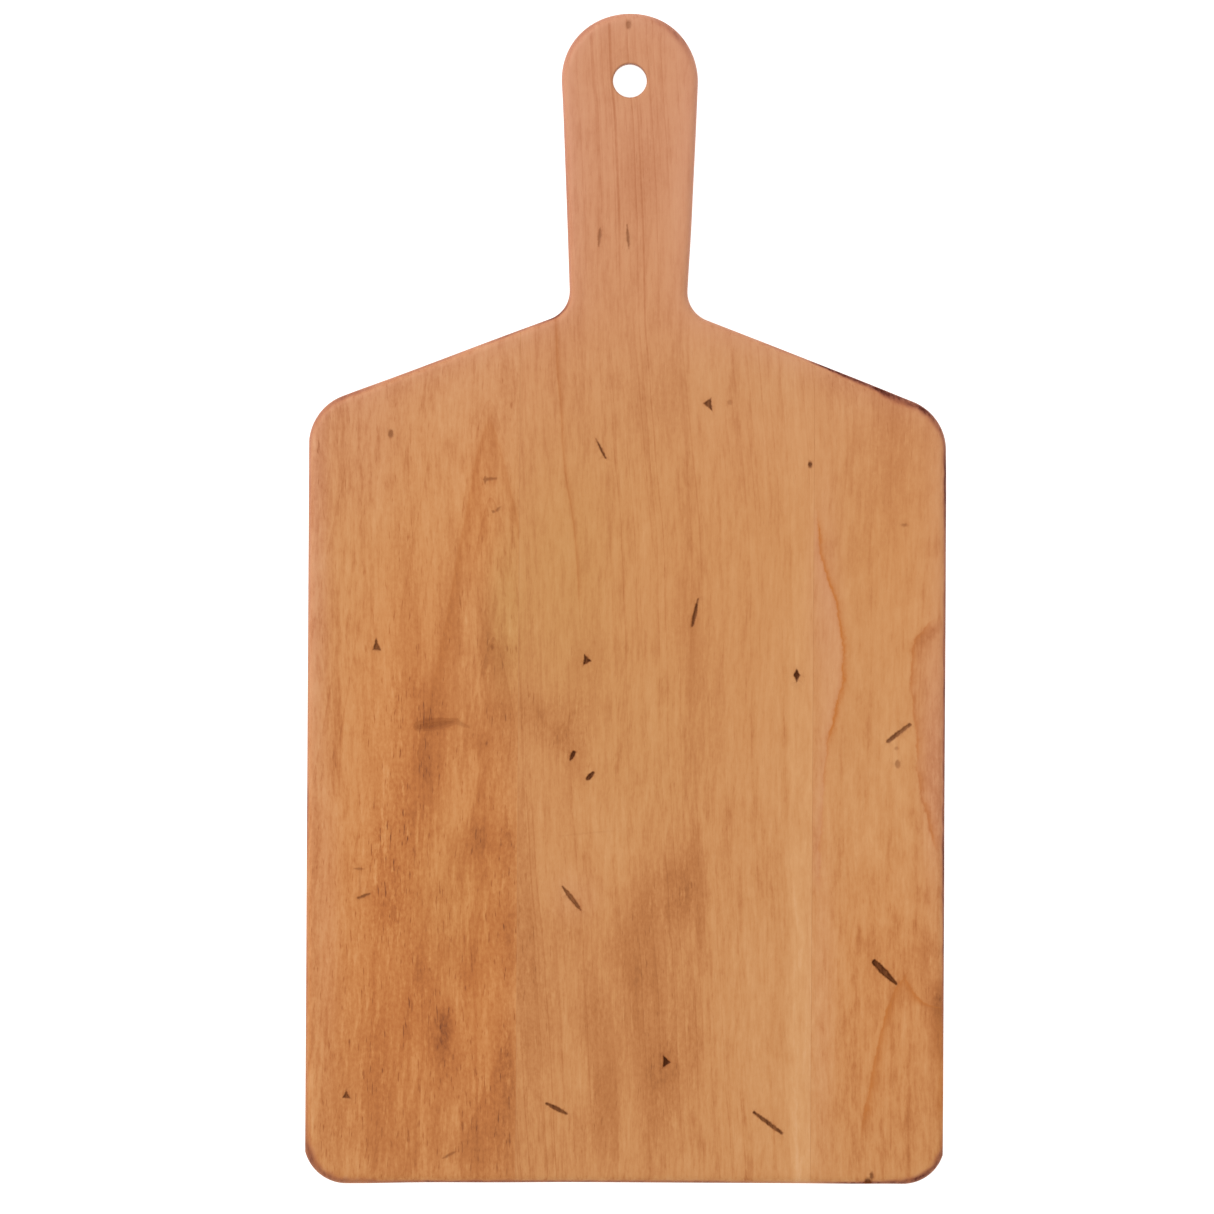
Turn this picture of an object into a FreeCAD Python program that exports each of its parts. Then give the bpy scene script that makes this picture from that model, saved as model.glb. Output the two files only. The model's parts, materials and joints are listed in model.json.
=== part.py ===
"""Paddle-shaped cutting board, edge-glued from three staves.

The board lies flat, as it is used: its underside is on Z = 0, +Y points to the handle,
+X points to the narrow stave, and the origin is under the middle of the board.

It is made in the order a woodworker makes it. One outline is cut from a panel, its
corners and long edges are rounded, and the hanging hole is drilled. The panel is then
divided at its two glued joints into three staves and two films of glue.
"""
import FreeCAD, Part
import os
import Sketcher

DRIVING_DIMENSIONS = {
    # Overall size of the board. Lengths are in millimetres and angles in degrees.
    "board_length": 438,
    "board_width": 239,
    "board_thickness": 19,
    # Blade: straight sides up to the shoulders, which slope up to the handle.
    "side_length": 289,
    "shoulder_slope": 20.9,
    "corner_radius": 15.4,
    "shoulder_radius": 19.5,
    "neck_radius": 11.25,
    # Handle: a round tip, narrowing towards the neck on both sides.
    "tip_radius": 25.4,
    "handle_taper": 2.45,
    # Hanging hole, measured from the tip of the handle to its centre.
    "hole_diameter": 12.7,
    "hole_inset": 25,
    # Rounding of the long edges, and the easing of the hole's two rims.
    "edge_radius": 3,
    "rim_radius": 0.8,
    # Staves: the centre one takes what the outer two leave.
    "left_stave_width": 79,
    "right_stave_width": 49.6,
    "glue_thickness": 0.15,
    # How far the rough strips reach past the finished outline.
    "trim_allowance": 5,
}

# The lines of the outline and the arc of its tip, counter-clockwise from the lower end.
END, RIGHT_SIDE, RIGHT_SLOPE, RIGHT_GRIP, TIP, LEFT_GRIP, LEFT_SLOPE, LEFT_SIDE = range(8)
START_POINT, END_POINT, CENTRE_POINT = 1, 2, 3
ORIGIN = -1
Y_AXIS = -2

# Where the panel's rough edges and its two joints are along X.
LEFT_JOINT = "(dims.left_stave_width - dims.board_width / 2)"
RIGHT_JOINT = "(dims.board_width / 2 - dims.right_stave_width)"
ROUGH_LEFT = "(-dims.board_width / 2 - dims.trim_allowance)"
ROUGH_RIGHT = "(dims.board_width / 2 + dims.trim_allowance)"
HALF_GLUE = "dims.glue_thickness / 2"

# Closeness of two lengths in millimetres, or of two volumes as a share of the larger.
TOLERANCE = 1e-4


def make_sheet(doc):
    """Spreadsheet with one named cell for each driving dimension."""
    sheet = doc.addObject("Spreadsheet::Sheet", "dims")
    for row, (alias, value) in enumerate(DRIVING_DIMENSIONS.items(), start=1):
        sheet.set(f"A{row}", alias)
        sheet.set(f"B{row}", str(value))
        sheet.setAlias(f"B{row}", alias)
    doc.recompute()
    return sheet


def base_sketch(body, name):
    """Empty sketch on the body's own XY plane."""
    base = next(plane for plane in body.Origin.OriginFeatures if plane.Role == "XY_Plane")
    sketch = body.newObject("Sketcher::SketchObject", name)
    sketch.AttachmentSupport = [(base, "")]
    sketch.MapMode = "FlatFace"
    return sketch


def drive(sketch, name, expression, *constraint):
    """Dimensional constraint whose value follows an expression."""
    index = sketch.addConstraint(Sketcher.Constraint(*constraint))
    sketch.renameConstraint(index, name)
    sketch.setExpression(f"Constraints.{name}", expression)


def draw_outline(body, sheet):
    """The board's outline with sharp corners, the same on both sides of the Y axis."""
    side = sheet.board_width / 2
    grip = sheet.tip_radius
    end = -sheet.board_length / 2
    shoulder = end + sheet.side_length
    tip_centre = sheet.board_length / 2 - grip
    neck = (shoulder + tip_centre) / 2
    corners = [(-side, end), (side, end), (side, shoulder), (grip, neck), (grip, tip_centre),
               (-grip, tip_centre), (-grip, neck), (-side, shoulder), (-side, end)]
    points = [FreeCAD.Vector(x, y, 0) for x, y in corners]
    top = FreeCAD.Vector(0, tip_centre + grip, 0)

    sketch = base_sketch(body, "Outline")
    for line, (start, stop) in enumerate(zip(points, points[1:])):
        edge = Part.Arc(start, top, stop) if line == TIP else Part.LineSegment(start, stop)
        sketch.addGeometry(edge)

    def hold(*constraint):
        sketch.addConstraint(Sketcher.Constraint(*constraint))

    for line in (END, RIGHT_SIDE, RIGHT_SLOPE, LEFT_GRIP, LEFT_SLOPE):
        hold("Coincident", line, END_POINT, line + 1, START_POINT)
    hold("Coincident", LEFT_SIDE, END_POINT, END, START_POINT)
    hold("Tangent", RIGHT_GRIP, END_POINT, TIP, START_POINT)
    hold("Tangent", TIP, END_POINT, LEFT_GRIP, START_POINT)
    hold("Vertical", RIGHT_SIDE)
    for left, right in ((END, END), (LEFT_SIDE, RIGHT_SIDE), (LEFT_SLOPE, RIGHT_SLOPE)):
        hold("Symmetric", left, START_POINT, right, END_POINT, Y_AXIS)
    hold("PointOnObject", TIP, CENTRE_POINT, Y_AXIS)

    drive(sketch, "blade_width", "dims.board_width",
          "DistanceX", END, START_POINT, END, END_POINT, 2 * side)
    drive(sketch, "end_offset", "-dims.board_length / 2",
          "DistanceY", ORIGIN, START_POINT, END, START_POINT, end)
    drive(sketch, "side_length", "dims.side_length",
          "DistanceY", RIGHT_SIDE, START_POINT, RIGHT_SIDE, END_POINT, sheet.side_length)
    drive(sketch, "slope_angle", "(180 - dims.shoulder_slope) * 1 deg",
          "Angle", RIGHT_SLOPE, points[3].sub(points[2]).getAngle(FreeCAD.Vector(1, 0, 0)))
    drive(sketch, "grip_angle", "(90 - dims.handle_taper) * 1 deg",
          "Angle", RIGHT_GRIP, points[4].sub(points[3]).getAngle(FreeCAD.Vector(1, 0, 0)))
    drive(sketch, "tip_radius", "dims.tip_radius", "Radius", TIP, grip)
    drive(sketch, "tip_offset", "dims.board_length / 2 - dims.tip_radius",
          "DistanceY", ORIGIN, START_POINT, TIP, CENTRE_POINT, tip_centre)
    return sketch


def corner_edges(feature, corner):
    """Names of the upright edges at a corner of the outline and at its mirror image."""
    names = []
    for number, edge in enumerate(feature.Shape.Edges, start=1):
        middle = edge.BoundBox.Center
        upright = max(edge.BoundBox.XLength, edge.BoundBox.YLength) < TOLERANCE
        off_corner = max(abs(abs(middle.x) - corner.x), abs(middle.y - corner.y))
        if upright and off_corner < TOLERANCE:
            names.append(f"Edge{number}")
    return names


def flat_faces(feature):
    """Names of the faces that make the cutting face and the underside."""
    return [f"Face{number}" for number, face in enumerate(feature.Shape.Faces, start=1)
            if face.BoundBox.ZLength < TOLERANCE]


def round_over(body, name, base, parts, radius):
    """Fillet of the named edges or faces, with its radius in the sheet."""
    fillet = body.newObject("PartDesign::Fillet", name)
    fillet.Base = (base, parts)
    fillet.setExpression("Radius", f"dims.{radius}")
    body.Document.recompute()
    return fillet


def make_panel(doc, sheet):
    """The whole board as it leaves the workshop, before its staves are told apart."""
    body = doc.addObject("PartDesign::Body", "panel")
    outline = draw_outline(body, sheet)

    sawn = body.newObject("PartDesign::Pad", "SawnPanel")
    sawn.Profile = outline
    sawn.setExpression("Length", "dims.board_thickness")
    doc.recompute()

    feature = sawn
    for name, line, radius in (("EndCorners", END, "corner_radius"),
                               ("Shoulders", RIGHT_SIDE, "shoulder_radius"),
                               ("Neck", RIGHT_SLOPE, "neck_radius")):
        edges = corner_edges(feature, outline.getPoint(line, END_POINT))
        feature = round_over(body, name, feature, edges, radius)
    round_over(body, "LongEdges", feature, flat_faces(feature), "edge_radius")
    return body


def drill_hole(doc, sheet, body):
    """The hanging hole through the handle, with both rims eased."""
    undrilled = body.Shape.Volume
    circle = base_sketch(body, "HoleCircle")
    centre = FreeCAD.Vector(0, sheet.board_length / 2 - sheet.hole_inset, 0)
    circle.addGeometry(Part.Circle(centre, FreeCAD.Vector(0, 0, 1), sheet.hole_diameter / 2))
    circle.addConstraint(Sketcher.Constraint("PointOnObject", 0, CENTRE_POINT, Y_AXIS))
    drive(circle, "diameter", "dims.hole_diameter", "Diameter", 0, sheet.hole_diameter)
    drive(circle, "hole_offset", "dims.board_length / 2 - dims.hole_inset",
          "DistanceY", ORIGIN, START_POINT, 0, CENTRE_POINT, centre.y)

    hole = body.newObject("PartDesign::Pocket", "HangingHole")
    hole.Profile = circle
    hole.Type = "ThroughAll"
    hole.Midplane = True
    doc.recompute()
    if hole.Shape.Volume > undrilled - TOLERANCE * undrilled:
        raise RuntimeError("the hanging hole removed no wood")
    rims = [f"Edge{number}" for number, edge in enumerate(hole.Shape.Edges, start=1)
            if edge.Closed and isinstance(edge.Curve, Part.Circle)]
    round_over(body, "HoleRims", hole, rims, "rim_radius")


def split_panel(doc, panel):
    """The staves and the films of glue between them, each one strip of the panel."""
    names = ("left_stave", "left_glue_line", "centre_stave", "right_glue_line", "right_stave")
    cuts = (ROUGH_LEFT,
            f"{LEFT_JOINT} - {HALF_GLUE}", f"{LEFT_JOINT} + {HALF_GLUE}",
            f"{RIGHT_JOINT} - {HALF_GLUE}", f"{RIGHT_JOINT} + {HALF_GLUE}",
            ROUGH_RIGHT)
    pieces = []
    for name, left, right in zip(names, cuts, cuts[1:]):
        strip = doc.addObject("Part::Box", f"{name}_strip")
        strip.setExpression("Length", f"({right}) - ({left})")
        strip.setExpression("Width", "dims.board_length + 2 * dims.trim_allowance")
        strip.setExpression("Height", "dims.board_thickness + 2 * dims.trim_allowance")
        strip.setExpression("Placement.Base.x", left)
        strip.setExpression("Placement.Base.y", "-dims.board_length / 2 - dims.trim_allowance")
        strip.setExpression("Placement.Base.z", "-dims.trim_allowance")
        piece = doc.addObject("Part::Common", name)
        piece.Base = panel
        piece.Tool = strip
        piece.Label = name
        piece.Placement = FreeCAD.Placement()
        pieces.append(piece)
    doc.recompute()
    return pieces


def check(doc, panel, pieces):
    """Stops the build if a feature failed or a piece isn't one sound solid."""
    for item in doc.Objects:
        if "Invalid" in item.State or "Error" in item.State:
            raise RuntimeError(f"{item.Label} failed: {item.State}")
        if item.isDerivedFrom("Sketcher::SketchObject") and not item.FullyConstrained:
            raise RuntimeError(f"{item.Label} is not fully constrained")
    for piece in pieces:
        shape = piece.Shape
        if shape.isNull() or not shape.isValid() or len(shape.Solids) != 1:
            raise RuntimeError(f"{piece.Label} is not one valid solid")
    together = sum(piece.Shape.Volume for piece in pieces)
    if abs(together - panel.Shape.Volume) > TOLERANCE * together:
        raise RuntimeError("the pieces don't add up to the panel")


def main():
    """Builds the document and writes one file for each piece."""
    doc = FreeCAD.newDocument("cutting_board")
    sheet = make_sheet(doc)
    panel = make_panel(doc, sheet)
    drill_hole(doc, sheet, panel)
    pieces = split_panel(doc, panel)
    check(doc, panel, pieces)
    os.makedirs("parts", exist_ok=True)
    for piece in pieces:
        piece.Shape.exportStep(f"parts/{piece.Label}.step")
        box = piece.Shape.optimalBoundingBox(False, False)
        print(f"{piece.Label}: {box.XLength:.2f} x {box.YLength:.2f} x {box.ZLength:.2f} mm")


main()
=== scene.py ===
"""Looks of the paddle-shaped cutting board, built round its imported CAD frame.

The board is modelled as one worn, hand-sanded slab with its cuts and chips pressed into the
cutting face. It is then sliced at its two glued joints into three staves and two films of
glue, and each slice stands for its CAD node. Lengths are in millimetres up to the point where
a mesh or a light takes them, and MM turns them into metres.
"""
import json
import math

import bmesh
import bpy
import numpy as np
from mathutils import Matrix, Vector, noise
from mathutils.geometry import delaunay_2d_cdt
from mathutils.kdtree import KDTree


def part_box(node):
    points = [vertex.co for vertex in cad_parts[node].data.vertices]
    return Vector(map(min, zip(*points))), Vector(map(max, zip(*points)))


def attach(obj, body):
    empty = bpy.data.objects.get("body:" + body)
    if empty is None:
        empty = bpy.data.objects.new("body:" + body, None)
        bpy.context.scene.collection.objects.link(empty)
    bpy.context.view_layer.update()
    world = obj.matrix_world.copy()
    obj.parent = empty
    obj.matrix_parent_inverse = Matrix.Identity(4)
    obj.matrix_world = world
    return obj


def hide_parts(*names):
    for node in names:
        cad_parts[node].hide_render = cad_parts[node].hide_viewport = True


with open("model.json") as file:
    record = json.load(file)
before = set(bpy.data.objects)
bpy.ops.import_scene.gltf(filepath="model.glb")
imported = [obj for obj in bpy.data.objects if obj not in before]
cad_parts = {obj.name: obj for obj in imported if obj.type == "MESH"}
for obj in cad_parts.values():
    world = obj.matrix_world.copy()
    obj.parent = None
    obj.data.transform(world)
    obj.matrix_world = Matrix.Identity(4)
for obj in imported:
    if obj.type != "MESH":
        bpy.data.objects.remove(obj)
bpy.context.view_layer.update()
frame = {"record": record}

MM = 0.001

# Sizes that the frame gives.
WIDTH, LENGTH, THICKNESS = (side / MM for side in frame["record"]["size"]["bbox_m"])
HOLE = next(mount for mount in frame["record"]["mounts"] if mount["name"] == "hanging_hole")
HOLE_CENTRE = np.array(HOLE["pos_m"][:2]) / MM
HOLE_RADIUS = HOLE["dims"]["r_mm"]

# The outline's other dimensions, the same as in the design.
SIDE_LENGTH = 289.0
SHOULDER_SLOPE = math.radians(20.9)
CORNER_RADIUS = 15.4
SHOULDER_RADIUS = 19.5
NECK_RADIUS = 11.25
TIP_RADIUS = 25.4
HANDLE_TAPER = math.radians(2.45)
EDGE_RADIUS = 3.0
RIM_RADIUS = 0.8

# Mesh spacing along the outline, over the faces, and inside the cuts and chips.
OUTLINE_STEP = 1.0
HOLE_STEP = 0.5
FACE_STEP = 3.0
BACK_STEP = 5.0
MARK_STEP = 0.16
MARK_MARGIN = 0.5
EDGE_ROWS = 7
WALL_ROWS = 6


# ---- Marks
# Each shape gives how deep inside it a point lies, in millimetres, and the box it fills.

def cut(x1, y1, x2, y2, width, start=0.3, end=0.3, swell=0.5):
    """Knife cut with its width at both ends as a share, and where along it the cut is widest."""
    def inside(x, y):
        dx, dy = x2 - x1, y2 - y1
        share = np.clip(((x - x1) * dx + (y - y1) * dy) / (dx * dx + dy * dy), 0, 1)
        off = np.hypot(x - x1 - share * dx, y - y1 - share * dy)
        opening = start + (1 - start) * np.sin(np.clip(share / swell, 0, 1) * math.pi / 2)
        closing = end + (1 - end) * np.sin(np.clip((1 - share) / (1 - swell), 0, 1) * math.pi / 2)
        return width / 2 * np.minimum(opening, closing) - off
    half = width / 2
    return inside, (min(x1, x2) - half, min(y1, y2) - half, max(x1, x2) + half, max(y1, y2) + half)


def chip(*corners):
    """Small chip with straight sides, its corners given clockwise."""
    def inside(x, y):
        depths = []
        for (x1, y1), (x2, y2) in zip(corners, corners[1:] + corners[:1]):
            length = math.hypot(x2 - x1, y2 - y1)
            depths.append(((x - x1) * (y2 - y1) - (y - y1) * (x2 - x1)) / length)
        return np.minimum.reduce(depths)
    across, along = zip(*corners)
    return inside, (min(across), min(along), max(across), max(along))


def spot(x0, y0, across, along):
    """Oval bruise of the given full size."""
    def inside(x, y):
        away = np.hypot((x - x0) / (across / 2), (y - y0) / (along / 2))
        return (1 - away) * min(across, along) / 2
    return inside, (x0 - across / 2, y0 - along / 2, x0 + across / 2, y0 + along / 2)


# Shape, depth in millimetres, and how dark the old stain in it is, from 0 to 1.
MARKS = (
    # Long cuts.
    (cut(-12.0, 59.6, -8.3, 52.5, 1.3, 0.4, 0.6, 0.6), 0.3, 0.72),
    (cut(26.6, 0.0, 24.5, -10.2, 1.7, 0.4, 0.7, 0.6), 0.35, 0.72),
    (cut(106.2, -46.8, 98.1, -53.0, 2.0, 0.8, 0.9), 0.35, 0.64),
    (cut(-29.2, -189.4, -21.6, -193.2, 1.95, 0.5, 0.6), 0.4, 0.7),
    (cut(48.7, -192.4, 59.0, -200.0, 1.85, 0.7, 0.8), 0.4, 0.7),
    (cut(-68.0, -210.3, -62.6, -207.5, 1.35), 0.08, 0.46),
    # Gouges.
    (cut(-23.5, -108.2, -16.8, -116.8, 2.15, 0.4, 0.5, 0.5), 0.6, 0.62),
    (cut(93.4, -135.8, 101.8, -144.0, 2.9, 0.8, 0.4, 0.35), 0.8, 0.74),
    # Short splits along the grain in the handle.
    (cut(-10.8, 138.5, -11.3, 131.8, 1.7, 0.5, 0.4, 0.35), 0.2, 0.44),
    (cut(-0.8, 140.0, 0.0, 131.0, 1.45, 0.4, 0.4, 0.55), 0.25, 0.48),
    # Chips from the point of a knife.
    (chip((-93.9, -14.9), (-91.9, -20.2), (-95.4, -20.0)), 0.5, 0.7),
    (chip((-16.0, -20.8), (-12.9, -23.6), (-16.5, -25.6)), 0.6, 0.8),
    (chip((-104.2, -184.6), (-102.3, -188.1), (-105.8, -187.9)), 0.4, 0.7),
    (chip((14.4, -170.7), (17.6, -173.8), (14.2, -176.2)), 0.6, 0.82),
    (chip((31.2, 75.5), (31.7, 70.0), (27.9, 73.2)), 0.35, 0.74),
    (chip((63.7, -25.8), (65.2, -28.4), (63.8, -31.3), (62.3, -28.5)), 0.6, 0.82),
    (cut(-19.6, -57.9, -20.8, -60.6, 2.05, 0.9, 0.6, 0.3), 0.5, 0.8),
    (cut(-12.3, -65.5, -14.2, -67.5, 2.0, 0.7, 1.0, 0.6), 0.5, 0.76),
    # Bruises and scratches that left only a little stain.
    (cut(-78.0, -48.4, -63.5, -46.4, 5.0, 0.8, 0.5, 0.3), 0.06, 0.28),
    (cut(-77.6, -48.6, -65.0, -46.6, 2.8, 0.9, 0.6, 0.3), 0.1, 0.38),
    (cut(-65.6, -46.0, -59.0, -48.6, 2.1, 0.9, 0.6, 0.3), 0.06, 0.26),
    (cut(-24.6, -89.2, -1.4, -86.8, 0.9, 0.6, 0.3), 0.05, 0.09),
    (spot(68.3, 50.5, 1.8, 3.0), 0.15, 0.72),
    (spot(-88.9, 61.1, 2.2, 3.6), 0.1, 0.54),
    (spot(-0.6, 215.0, 2.3, 4.0), 0.15, 0.44),
    (spot(101.3, -55.7, 1.8, 1.6), 0.05, 0.34),
    (spot(101.8, -61.6, 2.3, 3.6), 0.08, 0.4),
    (spot(103.8, 28.0, 2.8, 1.5), 0.05, 0.36),
    (spot(38.2, 73.6, 2.2, 2.2), 0.05, 0.26),
    (cut(-53.6, 44.2, -49.3, 44.6, 1.5, 1.0, 0.7), 0.08, 0.46),
    (cut(-53.4, 45.5, -53.5, 42.6, 1.4), 0.1, 0.46),
    (cut(-50.8, 32.5, -49.5, 31.9, 1.4), 0.08, 0.46),
    (cut(-49.7, 31.9, -47.5, 34.1, 1.4), 0.08, 0.44),
    (cut(-101.7, -101.8, -97.8, -102.0, 1.2), 0.08, 0.46),
    (cut(-99.6, -102.0, -99.4, -112.3, 0.9), 0.04, 0.22),
    (cut(-100.0, -112.9, -95.7, -111.1, 1.4, 0.9, 0.6), 0.12, 0.62),
    (spot(-50.4, -18.5, 1.4, 2.8), 0.05, 0.42),
    # Nick in the lower edge.
    (spot(91.4, -217.9, 3.0, 2.6), 0.45, 0.66),
    (spot(92.9, -215.9, 1.8, 3.6), 0.3, 0.62),
)
# Along the lower edge, where the outline has closer points for the nick.
NICK_X, NICK_REACH, NICK_STEP = 92.0, 4.0, 0.25
# How wide the sides of a mark slope, how far its stain spreads, and how uneven its border is.
MARK_SLOPE = 0.9
INK_BLEED = 0.36
RAGGED, RAGGED_LENGTH = 0.22, 0.8


def ease(share):
    """Smooth step from 0 to 1."""
    share = np.clip(share, 0, 1)
    return share * share * (3 - 2 * share)


def wander(x, y, length, seed):
    """Smooth variation from -1 to 1 over the given length, at each point."""
    return np.array([noise.noise((px / length, py / length, seed)) for px, py in zip(x, y)])


def mark_shape(x, y):
    """How far the marks press into the cutting face, and how dark they are, at each point."""
    depth, ink = np.zeros_like(x), np.zeros_like(x)
    for (inside, box), deepest, darkest in MARKS:
        near = ((x > box[0] - MARK_MARGIN) & (x < box[2] + MARK_MARGIN)
                & (y > box[1] - MARK_MARGIN) & (y < box[3] + MARK_MARGIN))
        uneven = RAGGED * wander(x[near], y[near], RAGGED_LENGTH, 1.7)
        margin = inside(x[near], y[near]) + uneven
        depth[near] = np.maximum(depth[near], deepest * ease(margin / MARK_SLOPE))
        ink[near] = np.maximum(ink[near], darkest * ease((margin + INK_BLEED) / MARK_SLOPE))
    return depth, ink


# ---- Outline

# Fewest points on an arc of the outline.
ARC_POINTS = 4


def outline_corners():
    """Sharp corners of the outline with their rounding radii, counter-clockwise."""
    side, end = WIDTH / 2, LENGTH / 2
    shoulder = SIDE_LENGTH - end
    slope, lean = math.tan(SHOULDER_SLOPE), math.tan(HANDLE_TAPER)
    grip = TIP_RADIUS / math.cos(HANDLE_TAPER)
    tip_centre = end - TIP_RADIUS
    neck_y = (shoulder + slope * (side - grip + tip_centre * lean)) / (1 + slope * lean)
    neck_x = grip + (neck_y - tip_centre) * lean
    right = [(side, -end, CORNER_RADIUS), (side, shoulder, SHOULDER_RADIUS),
             (neck_x, neck_y, NECK_RADIUS), (grip + TIP_RADIUS * lean, end, TIP_RADIUS)]
    return right + [(-x, y, radius) for x, y, radius in reversed(right)]


def rounded_corner(before, corner, after):
    """Ends, centre, radius and sweep of the arc that rounds a corner of the outline."""
    here, radius = Vector(corner[:2]), corner[2]
    back = (Vector(before[:2]) - here).normalized()
    ahead = (Vector(after[:2]) - here).normalized()
    half = back.angle(ahead) / 2
    centre = here + (back + ahead).normalized() * (radius / math.sin(half))
    first = here + back * (radius / math.tan(half))
    last = here + ahead * (radius / math.tan(half))
    sweep = math.copysign(math.pi - 2 * half, ahead.x * back.y - ahead.y * back.x)
    return first, last, centre, radius, sweep


def straight_run(start, stop):
    """Points along a straight stretch of the outline, closer together beside the nick."""
    count = max(1, round((stop - start).length / OUTLINE_STEP))
    shares = set(np.arange(count) / count)
    if start.y < 0 and abs(stop.y - start.y) < OUTLINE_STEP:
        near = NICK_X + np.arange(-NICK_REACH, NICK_REACH, NICK_STEP)
        shares |= set((near - start.x) / (stop.x - start.x))
    return [start.lerp(stop, share) for share in sorted(shares)]


def board_outline():
    """Points of the rounded outline and their outward directions, as two arrays."""
    corners = outline_corners()
    arcs = [rounded_corner(corners[n - 1], corner, corners[(n + 1) % len(corners)])
            for n, corner in enumerate(corners)]
    points, normals = [], []
    for n, (first, last, centre, radius, sweep) in enumerate(arcs):
        begin = math.atan2(first.y - centre.y, first.x - centre.x)
        count = max(ARC_POINTS, round(abs(sweep) * radius / OUTLINE_STEP))
        for turn in begin + sweep * np.arange(count) / count:
            arm = Vector((math.cos(turn), math.sin(turn)))
            points.append(centre + arm * radius)
            normals.append(arm * math.copysign(1, sweep))
        following = arcs[(n + 1) % len(arcs)][0]
        along = following - last
        if along.length > OUTLINE_STEP / 2:
            run = straight_run(last, following)
            points += run
            normals += [Vector((along.y, -along.x)).normalized()] * len(run)
    return np.array(points), np.array(normals)


def hole_outline():
    """Points round the hanging hole, clockwise, and their directions into the hole."""
    count = round(2 * math.pi * HOLE_RADIUS / HOLE_STEP)
    turns = -2 * math.pi * np.arange(count) / count
    arms = np.stack([np.cos(turns), np.sin(turns)], axis=1)
    return HOLE_CENTRE + arms * HOLE_RADIUS, -arms


# ---- Board geometry

# Where years of handling rounded the edge more: across, along, extra radius and reach.
WORN_EDGES = (
    (-114, -214, 1.2, 20), (106, 80, 1.2, 20), (112, -214, 0.6, 16), (18, 212, 0.8, 16),
    (-20, 208, 0.3, 14), (-110, 76, 0.4, 20), (30, 108, 0.3, 14),
)
# Where the hand-shaped outline strays outward from its drawn line: across, along, how far and
# over what reach.
STRAYS = (
    (-106, -219, 0.9, 30), (-52, -219, 0.28, 22), (103, -219, -0.3, 12), (119, -198, 0.8, 26),
    (119, -155, 0.34, 40), (-119, -90, 0.26, 90), (-60, 97, 0.32, 45), (-108, 80, 0.46, 20),
    (111, 71, -0.46, 20), (78, 92, -0.12, 20), (26, 165, 0.3, 34), (27, 138, 0.18, 14),
    (-20, 208, 0.62, 16), (14, 214, 0.42, 13),
)
# Unevenness left by hand sanding of the outline, the edges' rounding and the cutting face: its
# depth, and the length it varies over.
SANDING_DEPTH, SANDING_LENGTH = 0.12, 38.0
EDGE_WOBBLE, EDGE_WOBBLE_LENGTH = 0.35, 24.0
FACE_WAVE, FACE_WAVE_LENGTH = 0.06, 70.0


def around(points, places):
    """Sum of the amounts given for some places, each fading over its reach, at each point."""
    x, y = points[:, 0], points[:, 1]
    return sum(amount * np.exp(-((x - px) ** 2 + (y - py) ** 2) / reach ** 2)
               for px, py, amount, reach in places)


def shaped_outline():
    """The outline as hand tools left it, and its outward directions."""
    points, normals = board_outline()
    sanding = SANDING_DEPTH * (1 + wander(points[:, 0], points[:, 1], SANDING_LENGTH, 5.3)) / 2
    return points + normals * (around(points, STRAYS) - sanding)[:, None], normals


def worn_radius(points):
    """Radius of the long edges' rounding at each point of the outline."""
    wobble = EDGE_WOBBLE * wander(points[:, 0], points[:, 1], EDGE_WOBBLE_LENGTH, 3.1)
    return EDGE_RADIUS + wobble + around(points, WORN_EDGES)


def edge_band(mesh, points, normals, radii):
    """Rounded upper edge, wall and rounded lower edge. Returns the top and bottom loops."""
    profile = []
    for row in range(EDGE_ROWS + 1):
        tilt = math.pi / 2 * row / EDGE_ROWS
        profile.append((1 - math.sin(tilt), THICKNESS, -(1 - math.cos(tilt))))
    for row in range(1, WALL_ROWS):
        share = row / WALL_ROWS
        profile.append((0, THICKNESS * (1 - share), -(1 - 2 * share)))
    for row in range(EDGE_ROWS, -1, -1):
        tilt = math.pi / 2 * row / EDGE_ROWS
        profile.append((1 - math.sin(tilt), 0, 1 - math.cos(tilt)))
    loops = []
    for inset, height, drop in profile:
        level = height + drop * radii
        place = points - normals * (inset * radii)[:, None]
        loops.append([mesh.verts.new((px, py, pz)) for (px, py), pz in zip(place, level)])
    for upper, lower in zip(loops, loops[1:]):
        for n in range(len(upper)):
            mesh.faces.new((upper[n - 1], upper[n], lower[n], lower[n - 1]))
    return loops[0], loops[-1]


def grid(box, step):
    """Points of a triangular grid over a box, as an array."""
    rows = np.arange(box[1], box[3], step * math.sin(math.pi / 3))
    lines = []
    for number, y in enumerate(rows):
        x = np.arange(box[0] + step / 2 * (number % 2), box[2], step)
        lines.append(np.stack([x, np.full_like(x, y)], axis=1))
    return np.concatenate(lines)


def clear_of(points, loop, gap):
    """Which points are further than a gap from every point of a loop."""
    kept = np.ones(len(points), bool)
    for x, y in loop:
        kept &= (points[:, 0] - x) ** 2 + (points[:, 1] - y) ** 2 > gap * gap
    return kept


def within(points, loop):
    """Which points lie inside a closed loop."""
    x, y = points[:, 0], points[:, 1]
    odd = np.zeros(len(points), bool)
    for (x1, y1), (x2, y2) in zip(loop, np.roll(loop, -1, axis=0)):
        if y1 != y2:
            crosses = (y1 > y) != (y2 > y)
            odd ^= crosses & (x < (x2 - x1) * (y - y1) / (y2 - y1) + x1)
    return odd


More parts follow.
